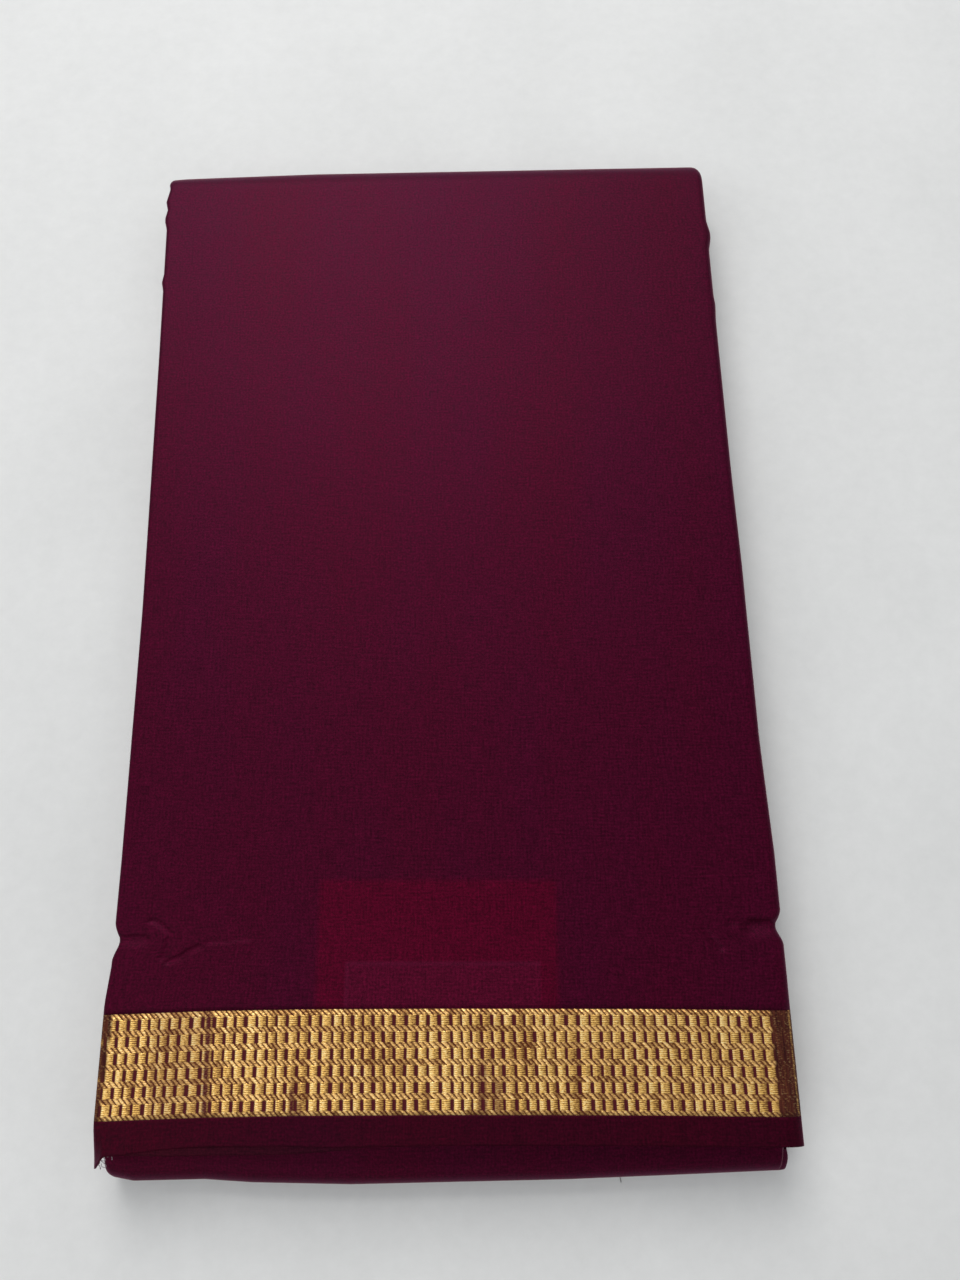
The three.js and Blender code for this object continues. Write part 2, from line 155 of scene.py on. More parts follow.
def settled(x, y, z):
    """Where a point of the straight, even stack comes to lie."""
    in_top = eased(z, STRIP * 3, STRIP * 3 + 0.27)
    above_near_fold = eased(z, STRIP * 2, STRIP * 2 + 0.3)
    in_second = above_near_fold * (1 - in_top)
    line = between(BORDER_LINE, x)
    if y < BORDER_NEAR_Y:
        t = (y - BORDER_NEAR_Y) / (TOP_EDGE_Y - BORDER_NEAR_Y)
        lean = line + (between(TOP_EDGE, x) - line) * t
    else:
        lean = line * (1 - eased(y, BORDER_FAR_Y, 0))
    shift = lean * in_top
    shift += between(LOWER_EDGE, x) * in_second * eased(-y, -TUCK_END_Y, -LOWER_EDGE_Y)
    shift += between(NEAR_FOLD, x) * (1 - above_near_fold) * eased(-y, -TUCK_END_Y, -NEAR_FOLD_Y)
    shift += between(FAR_FOLD, x) * eased(y, FAR_FOLD_Y, FAR_FOLD_Y + 8)
    # the left corner of the top selvedge hangs out of the stack
    loose = eased(-x, 83.4, 87.4) * eased(z, 17.2, 17.5) * eased(-y, 133.6, 140.4)
    shift -= CORNER_FORWARD * loose
    if x < 0:
        width = half_width(LEFT_SIDE, LEFT_DENTS, y) / HALF_WIDTH
    else:
        width = half_width(RIGHT_SIDE, RIGHT_DENTS, y) / HALF_WIDTH
        # at the near end the middle strips lie back from the right side
        back = eased(z, 4.6, 6.5) * (1 - eased(z, 14.4, 15.1)) * eased(-y, 136, 142)
        width -= HELD_BACK * back / HALF_WIDTH * eased(x, 60, 86)
    low = 0.10 * noise.noise(Vector((x * 0.028, y * 0.02, 3.1)))
    low += 0.05 * noise.noise(Vector((x * 0.09, y * 0.05, 8.2)))
    top_share = min(1, max(0, (z - STRIP * 3) / STRIP))
    creased = CREASED_NEAR < y < CREASED_FAR or y < BORDER_NEAR_Y
    sink = crease_depth(x * width, y) * top_share if creased else 0
    height = (z - sink) * between(SETTLE, y) + low * top_share - CORNER_DOWN * loose
    return Vector((x * width, y + shift, height)) * 0.001


def steps(*spans):
    """Places from each start to its end, evenly spaced by about the step given."""
    places = [spans[0][0]]
    for start, end, step in spans:
        n = max(1, round(abs(end - start) / step))
        places += [start + (end - start) * k / n for k in range(1, n + 1)]
    return places


def outer_section(y, z):
    """The outer layer across a strip: left fold, face, right fold, as (x, n)."""
    reach = FOLD_REACH + (FLAT_REACH - FOLD_REACH) * eased(y, BORDER_FAR_Y - 1, BORDER_FAR_Y + 9)
    if z < STRIP * 2:
        reach = FLAT_REACH + (NEAR_REACH - FLAT_REACH) * eased(-y, 138, -NEAR_FOLD_Y)
    left = -HALF_WIDTH + NOSE_REACH
    right = HALF_WIDTH - reach
    points = []
    for a in steps((270, 90, 15)):
        c, s = math.cos(math.radians(a)), math.sin(math.radians(a))
        points.append((left + NOSE_REACH * c, STRIP / 4 + NOSE_REACH * s))
    # its columns are close together where the creases are
    flat = steps((left, -46, 0.45), (-46, 60, 3.4), (60, right, (right - 60) / 38))
    points += [(x, STRIP / 2) for x in flat[1:-1]]
    for a in steps((90, LIP_END, 10)):
        c, s = math.cos(math.radians(a)), math.sin(math.radians(a))
        points.append((right + reach * c, STRIP / 2 * s))
    return points


def lengths(points):
    """How far along it each point of a line lies."""
    out = [0.0]
    for a, b in zip(points, points[1:]):
        out.append(out[-1] + math.dist(a, b))
    return out


def level(ys, z, up):
    """Stations on a flat stretch, facing up (1) or down (-1)."""
    return [(y, z, 0.0, up) for y in ys]


def turned(y, z, radius, start, end, step, facing):
    """Stations round a fold, facing out of the turn (1) or into it (-1)."""
    out = []
    for a in steps((start, end, step)):
        c, s = math.cos(math.radians(a)), math.sin(math.radians(a))
        out.append((y + radius * c, z + radius * s, c * facing, s * facing))
    return out


def laid(name, section, stations, start=0.0):
    """A grid laid along the folds: a column for each point of the section, a row for each
    station. Its map holds the way across and the way along the cloth, in metres."""
    sections = [section(y, z) for y, z, oy, oz in stations]
    columns, rows = len(sections[0]), len(stations)
    bpy.ops.object.select_all(action="DESELECT")
    bpy.ops.mesh.primitive_grid_add(x_subdivisions=columns - 1, y_subdivisions=rows - 1, size=1)
    cloth = bpy.context.object
    cloth.name = cloth.data.name = name
    mesh = cloth.data
    across = lengths(sections[0])
    along = lengths([(y + 2.5 * oy, z + 2.5 * oz) for y, z, oy, oz in stations])
    place = []
    for v in mesh.vertices:
        i = round((v.co.x + 0.5) * (columns - 1))
        j = round((v.co.y + 0.5) * (rows - 1))
        place.append((i, j))
        x, n = sections[j][i]
        y, z, oy, oz = stations[j]
        v.co = settled(x, y + n * oy, z + n * oz)
    cloth_map = mesh.uv_layers.active
    cloth_map.name = "cloth"
    for loop in mesh.loops:
        i, j = place[loop.vertex_index]
        cloth_map.data[loop.index].uv = (across[i] * 0.001, (along[j] + start) * 0.001)
    bpy.ops.object.shade_smooth()
    return cloth


def thickened(cloth, thick, offset=-1):
    bpy.ops.object.select_all(action="DESELECT")
    cloth.select_set(True)
    bpy.context.view_layer.objects.active = cloth
    wall = cloth.modifiers.new("wall", "SOLIDIFY")
    wall.thickness = thick * 0.001
    wall.offset = offset
    bpy.ops.object.modifier_apply(modifier=wall.name)


class Finish:
    """A material, put together from nodes."""

    def __init__(self, name):
        self.material = bpy.data.materials.new(name)
        self.material.use_nodes = True
        self.tree = self.material.node_tree
        self.surface = self.tree.nodes["Principled BSDF"]

    def node(self, kind, **values):
        made = self.tree.nodes.new("ShaderNode" + kind)
        for key, value in values.items():
            setattr(made, key, value)
        return made

    def feed(self, socket, value):
        if isinstance(value, bpy.types.NodeSocket):
            self.tree.links.new(value, socket)
        else:
            socket.default_value = value

    def sum(self, operation, a, b=0.0, c=0.0, clamp=False):
        made = self.node("Math", operation=operation, use_clamp=clamp)
        for socket, value in zip(made.inputs, (a, b, c)):
            self.feed(socket, value)
        return made.outputs[0]

    def mixed(self, share, a, b, how="MIX"):
        made = self.node("Mix", data_type="RGBA", blend_type=how)
        for key, value in ((0, share), (6, a), (7, b)):
            self.feed(made.inputs[key], value)
        return made.outputs[2]

    def mottle(self, vector, stretch, detail=2.0, rough=0.5):
        """Noise whose grains are as long as stretch, in millimetres, each way."""
        place = self.node("Mapping")
        self.feed(place.inputs["Vector"], vector)
        place.inputs["Scale"].default_value = [1000 / s for s in stretch]
        made = self.node("TexNoise")
        made.inputs["Scale"].default_value = 1.0
        made.inputs["Detail"].default_value = detail
        made.inputs["Roughness"].default_value = rough
        self.feed(made.inputs["Vector"], place.outputs[0])
        return made.outputs[0]

    def spread(self, value, low, high, to_low=0.0, to_high=1.0):
        made = self.node("MapRange")
        for socket, v in zip(made.inputs, (value, low, high, to_low, to_high)):
            self.feed(socket, v)
        return made.outputs[0]

    def within(self, value, low, high, soft):
        """1 between two places in millimetres on a length in metres, 0 outside, with soft ends."""
        rise = self.spread(value, (low - soft / 2) * 0.001, (low + soft / 2) * 0.001)
        fall = self.spread(value, (high + soft / 2) * 0.001, (high - soft / 2) * 0.001)
        return self.sum("MULTIPLY", rise, fall)

    def chance(self, column, row):
        """A number from 0 to 1 of its own for each whole column and row."""
        place = self.node("CombineXYZ")
        self.feed(place.inputs[0], column)
        self.feed(place.inputs[1], row)
        made = self.node("TexWhiteNoise", noise_dimensions="2D")
        self.feed(made.inputs["Vector"], place.outputs[0])
        return made.outputs[0]

    def apart(self, vector):
        """The three parts of a place."""
        made = self.node("SeparateXYZ")
        self.feed(made.inputs[0], vector)
        return made.outputs

    def ripple(self, along, pitch):
        """A smooth wave from 0 to 1, one for each pitch in millimetres of a length in metres."""
        turns = self.sum("MULTIPLY", along, 2000 * math.pi / pitch)
        return self.sum("MULTIPLY_ADD", self.sum("SINE", turns), 0.5, 0.5)

    def raised(self, height, distance, strength=1.0, under=None):
        made = self.node("Bump")
        made.inputs["Strength"].default_value = strength
        made.inputs["Distance"].default_value = distance * 0.001
        self.feed(made.inputs["Height"], height)
        if under is not None:
            self.feed(made.inputs["Normal"], under)
        return made.outputs[0]


WINE = (0.0510, 0.0006, 0.0100, 1)
PURPLE = (0.0480, 0.0008, 0.0124, 1)
# One oblong of the top strip is redder, turned a little against the cloth, and paler in its
# near part: the left, right, near and far sides of both
PATCH_TURN = 1.2
PATCH = (-31.4, 30.9, -112.0, -76.8)
PATCH_INSET = (-24.0, 26.5, -112.0, -97.3)
PATCH_RED = (0.0740, 0.0002, 0.0110, 1)
PATCH_LOW = (0.0760, 0.0016, 0.0150, 1)
PATCH_PALE = (0.1100, 0.0090, 0.0360, 1)


def wine_silk(name, wine=WINE, purple=PURPLE, patch=False):
    """Fine plain weave: a wine warp and a purple weft, a little uneven, with a soft sheen."""
    silk = Finish(name)
    cloth_map = silk.node("UVMap", uv_map="cloth").outputs[0]
    place = silk.node("TexCoord").outputs["Object"]
    broad = silk.mottle(place, (26, 90, 26), 2)
    colour = silk.mixed(silk.spread(broad, 0.25, 0.75), wine, purple)
    warp_streaks = silk.mottle(cloth_map, (0.5, 6, 1), 3, 0.6)
    weft_streaks = silk.mottle(cloth_map, (5, 0.5, 1), 3, 0.6)
    grain = silk.mottle(cloth_map, (0.6, 0.6, 1), 1)
    streaks = silk.sum("ADD", warp_streaks, weft_streaks)
    shade = silk.sum("MULTIPLY", silk.spread(streaks, 0.7, 1.3, 0.64, 1.36),
                     silk.spread(grain, 0.3, 0.7, 0.68, 1.32))
    colour = silk.mixed(1.0, colour, shade, "MULTIPLY")
    if patch:
        square_on = silk.node("Mapping")
        square_on.inputs["Rotation"].default_value = (0, 0, math.radians(PATCH_TURN))
        silk.feed(square_on.inputs["Vector"], place)
        x, y, z = silk.apart(square_on.outputs[0])
        left, right, near, far = PATCH
        inside = silk.sum("MULTIPLY", silk.within(x, left, right, 1.7),
                          silk.within(y, near, far, 1.7))
        inside = silk.sum("MULTIPLY", inside, silk.within(z, 17.2, 30, 0.5))
        left, right, near, far = PATCH_INSET
        inset = silk.sum("MULTIPLY", silk.within(x, left, right, 0.8),
                         silk.within(y, near, far, 0.8))
        core = silk.sum("MULTIPLY", silk.within(x, left + 0.9, right, 1),
                        silk.within(y, near, far - 0.9, 1))
        inside = silk.sum("MULTIPLY", inside, 0.9)
        red = silk.mixed(inset, PATCH_RED, PATCH_LOW)
        colour = silk.mixed(inside, colour, silk.mixed(1.0, red, shade, "MULTIPLY"))
        edge = silk.sum("MULTIPLY", inside, silk.sum("SUBTRACT", inset, core, clamp=True))
        colour = silk.mixed(silk.sum("MULTIPLY", edge, 0.22), colour, PATCH_PALE)
    silk.feed(silk.surface.inputs["Base Color"], colour)
    across, along, _ = silk.apart(cloth_map)
    weave = silk.sum("MULTIPLY", silk.ripple(across, 0.36), silk.ripple(along, 0.36))
    weave = silk.sum("MULTIPLY_ADD", streaks, 0.9, weave)
    silk.feed(silk.surface.inputs["Normal"], silk.raised(weave, 0.05, 0.5))
    silk.feed(silk.surface.inputs["Roughness"], silk.spread(streaks, 0.75, 1.25, 0.42, 0.54))
    # the filaments throw back light in the cloth's own colour, and browner at its turned edges
    silk.surface.inputs["Metallic"].default_value = 0.48
    silk.surface.inputs["Specular IOR Level"].default_value = 0.15
    silk.surface.inputs["Specular Tint"].default_value = (1.0, 0.5, 0.85, 1)
    silk.surface.inputs["Sheen Weight"].default_value = 0.28
    silk.surface.inputs["Sheen Roughness"].default_value = 0.2
    silk.surface.inputs["Sheen Tint"].default_value = (1.0, 0.40, 0.20, 1)
    return silk.material


over_top = level(
    steps((BORDER_FAR_Y, -99.5, 2), (-99.5, -83.5, 0.4), (-83.5, 96, 4.5), (96, FAR_FOLD_Y, 1.5)),
    17.5, 1)
far_turn = turned(FAR_FOLD_Y, 10, 7.5, 90, -90, 7.5, 1)
under = level(steps((FAR_FOLD_Y, 96, 4), (96, -136, 8), (-136, NEAR_FOLD_Y, 1.5)), 2.5, -1)
near_turn = turned(NEAR_FOLD_Y, 5, 2.5, 270, 90, 9, 1)
tuck = level(steps((NEAR_FOLD_Y, TUCK_END_Y, 1.4)), 7.5, 1)
body_run = over_top + far_turn[1:] + under[1:] + near_turn[1:] + tuck[1:]
body_cloth = laid("body_cloth", outer_section, body_run, TOP_EDGE_Y * -1 + BORDER_FAR_Y)
thickened(body_cloth, CLOTH_THICK)
body_cloth.data.materials.clear()
body_cloth.data.materials.append(wine_silk("wine_silk", patch=True))
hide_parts("top_stretch", "far_fold", "under_stretch", "near_fold")
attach(body_cloth, "root")


# The plain margin of the top strip, from the border to the selvedge. Its left corner has slipped
# out of the stack and hangs over the near fold.
# The margin's silk is darker and redder than the body's: partly its own colour, partly painted shade
MARGIN_WINE_AND_SHADE = (0.0370, 0.0003, 0.0050, 1)
MARGIN_PURPLE_AND_SHADE = (0.0330, 0.0003, 0.0066, 1)

margin = level(steps((TOP_EDGE_Y, BORDER_NEAR_Y, 0.5)), 17.5, 1)
selvedge_cloth = laid("selvedge_cloth", outer_section, margin)
thickened(selvedge_cloth, CLOTH_THICK)
selvedge_cloth.data.materials.clear()
selvedge_cloth.data.materials.append(wine_silk("wine_silk_margin_and_shade", MARGIN_WINE_AND_SHADE, MARGIN_PURPLE_AND_SHADE))
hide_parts("near_selvedge")
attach(selvedge_cloth, "root")


# The border, woven along the selvedge with flat gold thread over the same dark silk. Six rows of
# upright blocks lie between bands of slanting twill. It is flush with the cloth on both sides.
DASH_PITCH = 2.7
ROW_PITCH = 3.95
TWILL = 1.45
METAL_THREAD = 0.47
# Where the border is dull, creased or turned away from the light, its thread is darkened: partly its
# own dullness, partly painted shade. Left, right, near, far, and how dark out of 1, in the blocks and
# in the twill
DULL_AND_SHADED = (
    (-90.0, -85.3, -115, -100, 0.96, 0.96),
    (-90.0, -85.9, -124, -115, 0.96, 0.96),
    (-90.0, -86.7, -140, -124, 0.92, 0.92),
    (-75.0, -61.5, -140, -100, 0.24, 0.30),
    (-61.4, -59.9, -140, -100, 0.97, 0.45),
    (-39.6, -38.3, -140, -126.5, 0.95, 0.60),
    (-38.3, -36.2, -140, -129.5, 0.60, 0.50),
    (7.5, 10.0, -140, -121.5, 0.70, 0.45),
    (11.5, 13.5, -140, -125.5, 0.60, 0.40),
    (82.6, 87.6, -140, -100, 1.0, 1.0),
    (87.6, 92.0, -140, -100, 0.93, 0.93),
)
# the dark between the blocks, also used as painted shade at the border's turned-down sides
GAP_AND_SHADE_DARK = (0.0700, 0.0050, 0.0130, 1)
DULL_AND_SHADED_GOLD = (0.0300, 0.0030, 0.0060, 1)
DULL_AND_SHADED_WARM = (0.0900, 0.0200, 0.0120, 1)
DEEP_AND_SHADED_GOLD = (0.1500, 0.0480, 0.0150, 1)
BRIGHT_GOLD = (1.0000, 0.6000, 0.1600, 1)
ROSE_GOLD = (0.9500, 0.5600, 0.1900, 1)
PAINTED_HIGHLIGHT_GOLD = (1.0000, 0.7800, 0.3700, 1)


def zari(name):
    """The gold thread weave, from the way across and the way along the cloth."""
    gold = Finish(name)
    cloth_map = gold.node("UVMap", uv_map="cloth").outputs[0]
    place = gold.node("TexCoord").outputs["Object"]
    across, along, _ = gold.apart(cloth_map)
    # the rows count down from the border's far line to the near one
    width = BORDER_FAR_Y - BORDER_NEAR_Y
    down = gold.sum("SUBTRACT", width, gold.sum("MULTIPLY", along, 1000.0))
    slip = gold.mottle(cloth_map, (14, 60, 1), 1)
    side = gold.sum("MULTIPLY_ADD", across, 1000.0, gold.sum("MULTIPLY", slip, 3.0))
    in_row = gold.sum("MULTIPLY", gold.sum("FRACT", gold.sum("DIVIDE", down, ROW_PITCH)), ROW_PITCH)
    in_block = gold.spread(in_row, TWILL - 0.12, TWILL + 0.12)
    in_twill = gold.sum("SUBTRACT", 1.0, in_block)
    # upright blocks with dark gaps between them, some wide and some narrow
    turns = gold.sum("DIVIDE", side, DASH_PITCH)
    block = gold.sum("FRACT", turns)
    rows = gold.sum("FLOOR", gold.sum("DIVIDE", down, ROW_PITCH))
    gap_chance = gold.chance(gold.sum("ROUND", turns), rows)
    block_chance = gold.chance(gold.sum("FLOOR", turns), gold.sum("ADD", rows, 40.0))
    from_gap = gold.sum("MINIMUM", block, gold.sum("SUBTRACT", 1.0, block))
    half_gap = gold.spread(gap_chance, 0, 1, 0.08, 0.17)
    gap = gold.spread(gold.sum("SUBTRACT", from_gap, half_gap), -0.02, 0.06, 1.0, 0.0)
    # short slanting floats, each dark line running from one gap's foot to the head of the next
    slant = gold.sum("MULTIPLY_ADD", in_row, -DASH_PITCH / 2 / TWILL, side)
    float_turns = gold.sum("DIVIDE", slant, DASH_PITCH / 2)
    float_at = gold.sum("FRACT", float_turns)
    float_chance = gold.chance(gold.sum("FLOOR", float_turns), gold.sum("ADD", rows, 80.0))
    from_line = gold.sum("MINIMUM", float_at, gold.sum("SUBTRACT", 1.0, float_at))
    to_gap = gold.sum("FRACT", gold.sum("MULTIPLY", gold.sum("ROUND", float_turns), 0.5))
    line = gold.spread(from_line, 0.02, 0.17, 1.0, 0.0)
    line = gold.sum("MULTIPLY", line, gold.spread(to_gap, 0, 0.5, 0.95, 0.6))
    shows = gold.sum("ADD", gold.sum("MULTIPLY", gap, in_block), gold.sum("MULTIPLY", line, in_twill))
    # how much light each thread throws back, painted into its colour: the thread lines and a random
    # tone, with a painted sheen in upright bands and each block painted lighter on its left and
    # darker on its right
    wavy = gold.sum("MULTIPLY_ADD", gold.mottle(cloth_map, (2.5, 6, 1), 1), 0.0008, along)
    threads = gold.ripple(wavy, METAL_THREAD)
    bands = gold.mottle(cloth_map, (5, 40, 1), 3, 0.65)
    grain = gold.mottle(cloth_map, (0.7, 0.4, 1), 2, 0.6)
    light = gold.sum("MULTIPLY", gold.spread(bands, 0.32, 0.62, 0.64, 1.08),
                     gold.spread(grain, 0.3, 0.7, 0.5, 1.45))
    in_threads = gold.sum("MULTIPLY", gold.spread(threads, 0.0, 0.65, 0.46, 1.1),
                          gold.spread(block, 0.1, 0.9, 1.50, 0.56))
    in_threads = gold.sum("MULTIPLY", in_threads, gold.spread(block_chance, 0, 1, 0.84, 1.14))
    in_floats = gold.sum("MULTIPLY", gold.spread(from_line, 0.1, 0.45, 0.6, 1.1),
                         gold.spread(float_chance, 0, 1, 0.55, 1.2))
    light = gold.sum("MULTIPLY", light, gold.mixed(in_block, in_floats, in_threads))
    bright = gold.mixed(in_block, ROSE_GOLD, BRIGHT_GOLD)
    # from deep gold, partly painted shade, to bright gold, with a pale painted highlight where
    # brightest
    colour = gold.mixed(gold.spread(light, 0.3, 1.0), DEEP_AND_SHADED_GOLD, bright)
    colour = gold.mixed(gold.spread(light, 1.0, 1.6), colour, PAINTED_HIGHLIGHT_GOLD)
    colour = gold.mixed(shows, colour, GAP_AND_SHADE_DARK)
    x, y, _ = gold.apart(place)
    # the dull places: partly the thread's own dullness, partly painted shade where the border is
    # creased or turns away from the light
    dull_and_shade = 0.0
    for left, right, near, far, blocks, twill in DULL_AND_SHADED:
        spot = gold.sum("MULTIPLY", gold.within(x, left, right, 0.8), gold.within(y, near, far, 2.5))
        spot = gold.sum("MULTIPLY", spot, gold.spread(in_block, 0, 1, twill, blocks))
        dull_and_shade = gold.sum("MAXIMUM", dull_and_shade, spot)
    dull_and_shade = gold.sum("MULTIPLY", dull_and_shade, gold.spread(grain, 0.3, 0.7, 1.15, 0.85), clamp=True)
    upright = gold.spread(gold.mottle(cloth_map, (0.6, 9, 1), 2), 0.35, 0.65)
    # darker still at both sides, where the border turns down: partly its own dark end, partly painted
    # shade
    dark_and_shaded_ends = gold.spread(gold.sum("ABSOLUTE", x), 0.0795, 0.0805)
    dull_and_shade_colour = gold.mixed(dark_and_shaded_ends, GAP_AND_SHADE_DARK, gold.mixed(upright, DULL_AND_SHADED_GOLD, DULL_AND_SHADED_WARM))
    colour = gold.mixed(dull_and_shade, colour, dull_and_shade_colour)
    gold.feed(gold.surface.inputs["Base Color"], colour)
    bare_and_shaded = gold.sum("MAXIMUM", shows, dull_and_shade)
    gold.feed(gold.surface.inputs["Metallic"], gold.spread(bare_and_shaded, 0, 1, 0.6, 0.1))
    gold.feed(gold.surface.inputs["Roughness"], gold.spread(bare_and_shaded, 0, 1, 0.36, 0.6))
    gold.surface.inputs["Specular IOR Level"].default_value = 0.2
    gold.surface.inputs["Specular Tint"].default_value = (1.0, 0.7, 0.4, 1)
    round_block = gold.sum("POWER", gold.sum("MULTIPLY", from_gap, 2.0), 0.6)
    relief = gold.mixed(in_block, gold.sum("MULTIPLY", from_line, 1.6), round_block)
    relief = gold.sum("SUBTRACT", relief, gold.sum("MULTIPLY", shows, 0.8))
    relief = gold.sum("MULTIPLY_ADD", threads, 0.22, relief)
    fine = gold.raised(relief, 0.16, 0.85)
    gold.feed(gold.surface.inputs["Normal"], gold.raised(bands, 1.2, 0.25, under=fine))
    return gold.material


border_run = level(steps((BORDER_NEAR_Y, BORDER_FAR_Y, 1.2)), 17.5, 1)
border_cloth = laid("border_cloth", outer_section, border_run)
thickened(border_cloth, CLOTH_THICK)
border_cloth.data.materials.clear()
border_cloth.data.materials.append(zari("zari_weave"))
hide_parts("gold_border")
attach(border_cloth, "root")


# The other selvedge of the saree, at the near end of the second strip. It shows as a narrow
# edge below the top one on the left, and goes in under it towards the right.
# Its silk is darker than the body's: partly a tone of its own, partly painted shade under the strip
# above
LOWER_WINE_AND_SHADE = (0.0480, 0.0030, 0.0090, 1)
LOWER_PURPLE_AND_SHADE = (0.0340, 0.0018, 0.0090, 1)

lower_profile = [(x, 1.9) for x in steps((-85.6, -60, 1.6), (-60, 60, 4), (60, 86.6, 1.6))]
lower_run = level(steps((LOWER_EDGE_Y, -136, 0.6), (-136, -118, 3)), 12.5, 1)
lower_cloth = laid("lower_selvedge_cloth", lambda y, z: lower_profile, lower_run)
thickened(lower_cloth, CLOTH_THICK)
lower_cloth.data.materials.clear()
lower_cloth.data.materials.append(wine_silk("wine_silk_lower_and_shade", LOWER_WINE_AND_SHADE, LOWER_PURPLE_AND_SHADE))
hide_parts("lower_selvedge")
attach(lower_cloth, "root")


# All the layers inside. On the right they turn together round one fold. On the left the earlier
# folds lie open, 16, 8, 4 and 2 layers each, and the free ends, none quite even with the next.
def wander(s, k, size):
    """How far layer k strays from its line at a place s along the folds."""
    return size * noise.noise(Vector((s * 0.021, k * 7.7, 1.3))) \
        + 0.35 * size * noise.noise(Vector((s * 0.11, k * 3.1, 5.9)))


LAYER = STRIP / 32
# The open folds on the left: layers, how far it lies back from the side
NOSES = ((2, 1.2), (4, 0.9), (8, 0.35))
UNDER_COVER = 0.6       # how far these layers end inside the outer cloth


def strip_section(s, covered):
    """The points round one strip, from its free ends up the left side, over its face, down the
    right fold and back along its inner face."""
    left = -HALF_WIDTH
    n = -STRIP / 2
    free = left + 1.5 + wander(s, 10, 0.5)
    points = [(free, n), (free - 0.1, n + LAYER), (free, n + 2 * LAYER)]
    n += 2 * LAYER
    for k, (layers, back) in enumerate(NOSES):
        half = layers * LAYER / 2
        x = left + back + wander(s, 11 + k, 0.45) + half
        for a in steps((262, 98, 33)):
            points.append((x + half * 1.15 * math.cos(math.radians(a)),
                           n + half + half * math.sin(math.radians(a))))
        n += 2 * half
    right = HALF_WIDTH - FOLD_REACH
    if covered:
        x = left + NOSE_REACH + 0.5
        half = face = STRIP / 2 - UNDER_COVER
        points += [(x, n - 0.1), (x, face)]
        reach = FOLD_REACH - UNDER_COVER
    else:
        x = left + 0.1 + wander(s, 15, 0.35)
        for a in steps((258, 90, 18.7)):
            points.append((x + NOSE_REACH + NOSE_REACH * math.cos(math.radians(a)),
                           STRIP / 4 + NOSE_REACH * math.sin(math.radians(a))))
        reach = FOLD_REACH + wander(s, 16, 0.5)
        half = face = STRIP / 2
    flat = steps((-84, -50, 2.6), (-50, 50, 12), (50, 82, 2.6))
    points += [(x, face) for x in flat]
    for a in steps((90, -90, 12)):
        points.append((right + reach * math.cos(math.radians(a)),
                       half * math.sin(math.radians(a))))
    points += [(x, -STRIP / 2) for x in reversed(flat)]
    return points


def rolled(name, stations, covered):
    """A closed roll of layers along the folds, each station with its own section."""
    s = 0.0
    sections = []
    for k, (y, z, oy, oz) in enumerate(stations):
        if k:
            s += math.dist(stations[k - 1][:2], (y, z))
        sections.append((strip_section(s, covered), y, z, oy, oz, s))
    columns = len(sections[0][0])
    bpy.ops.object.select_all(action="DESELECT")
    bpy.ops.mesh.primitive_grid_add(x_subdivisions=columns, y_subdivisions=len(stations) - 1, size=1)
    roll = bpy.context.object
    roll.name = roll.data.name = name
    place = []
    for v in roll.data.vertices:
        i = round((v.co.x + 0.5) * columns)
        j = round((v.co.y + 0.5) * (len(stations) - 1))
        section, y, z, oy, oz, s = sections[j]
        x, n = section[i % columns]
        place.append((n, s))
        v.co = settled(x, y + n * oy, z + n * oz)
    roll_map = roll.data.uv_layers.active
    roll_map.name = "cloth"
    for loop in roll.data.loops:
        n, s = place[loop.vertex_index]
        roll_map.data[loop.index].uv = (n * 0.001, s * 0.001)
    bpy.ops.object.mode_set(mode="EDIT")
    bpy.ops.mesh.select_all(action="SELECT")
    bpy.ops.mesh.remove_doubles(threshold=0.000002)
    bpy.ops.mesh.select_all(action="DESELECT")
    bpy.ops.mesh.select_non_manifold(extend=False, use_wire=False, use_multi_face=False,
                                     use_non_contiguous=False, use_verts=False)
    bpy.ops.mesh.fill_holes(sides=0)
    bpy.ops.mesh.select_all(action="SELECT")
    bpy.ops.mesh.normals_make_consistent(inside=False)
    bpy.ops.object.mode_set(mode="OBJECT")
    bpy.ops.object.shade_smooth_by_angle(angle=math.radians(50))
    return roll


outer_rows = steps((TOP_EDGE_Y + 1.9, -98, 2.6), (-98, -82, 1.3), (-82, FAR_FOLD_Y, 4))
outer_roll = rolled(
    "folded_layers",
    level(outer_rows, 17.5, 1) + turned(FAR_FOLD_Y, 10, 7.5, 90, -90, 12, 1)[1:]
    + level(list(reversed(steps((NEAR_FOLD_Y, FAR_FOLD_Y, 5)))), 2.5, -1)[1:]
    + turned(NEAR_FOLD_Y, 5, 2.5, 270, 90, 15, 1)[1:]
    + level(steps((NEAR_FOLD_Y, -139, 2)), 7.5, 1)[1:],
    True)
inner_roll = rolled(
    "inner_roll",
    level(steps((-138, FAR_FOLD_Y, 4)), 7.5, 1)
    + turned(FAR_FOLD_Y, 10, 2.5, -90, 90, 15, -1)[1:]
    + level(list(reversed(steps((LOWER_EDGE_Y + 1.9, FAR_FOLD_Y, 4)))), 12.5, -1)[1:],
    False)
bpy.ops.object.select_all(action="DESELECT")
inner_roll.select_set(True)
outer_roll.select_set(True)
bpy.context.view_layer.objects.active = outer_roll
bpy.ops.object.join()
folded_layers = bpy.context.object


LAYER_DARK = (0.0180, 0.0010, 0.0060, 1)
LAYER_LIGHT = (0.0400, 0.0020, 0.0120, 1)
FOLDED_GOLD = (0.12, 0.05, 0.015, 1)
FOLDED_GOLD_LIGHT = (0.55, 0.34, 0.12, 1)


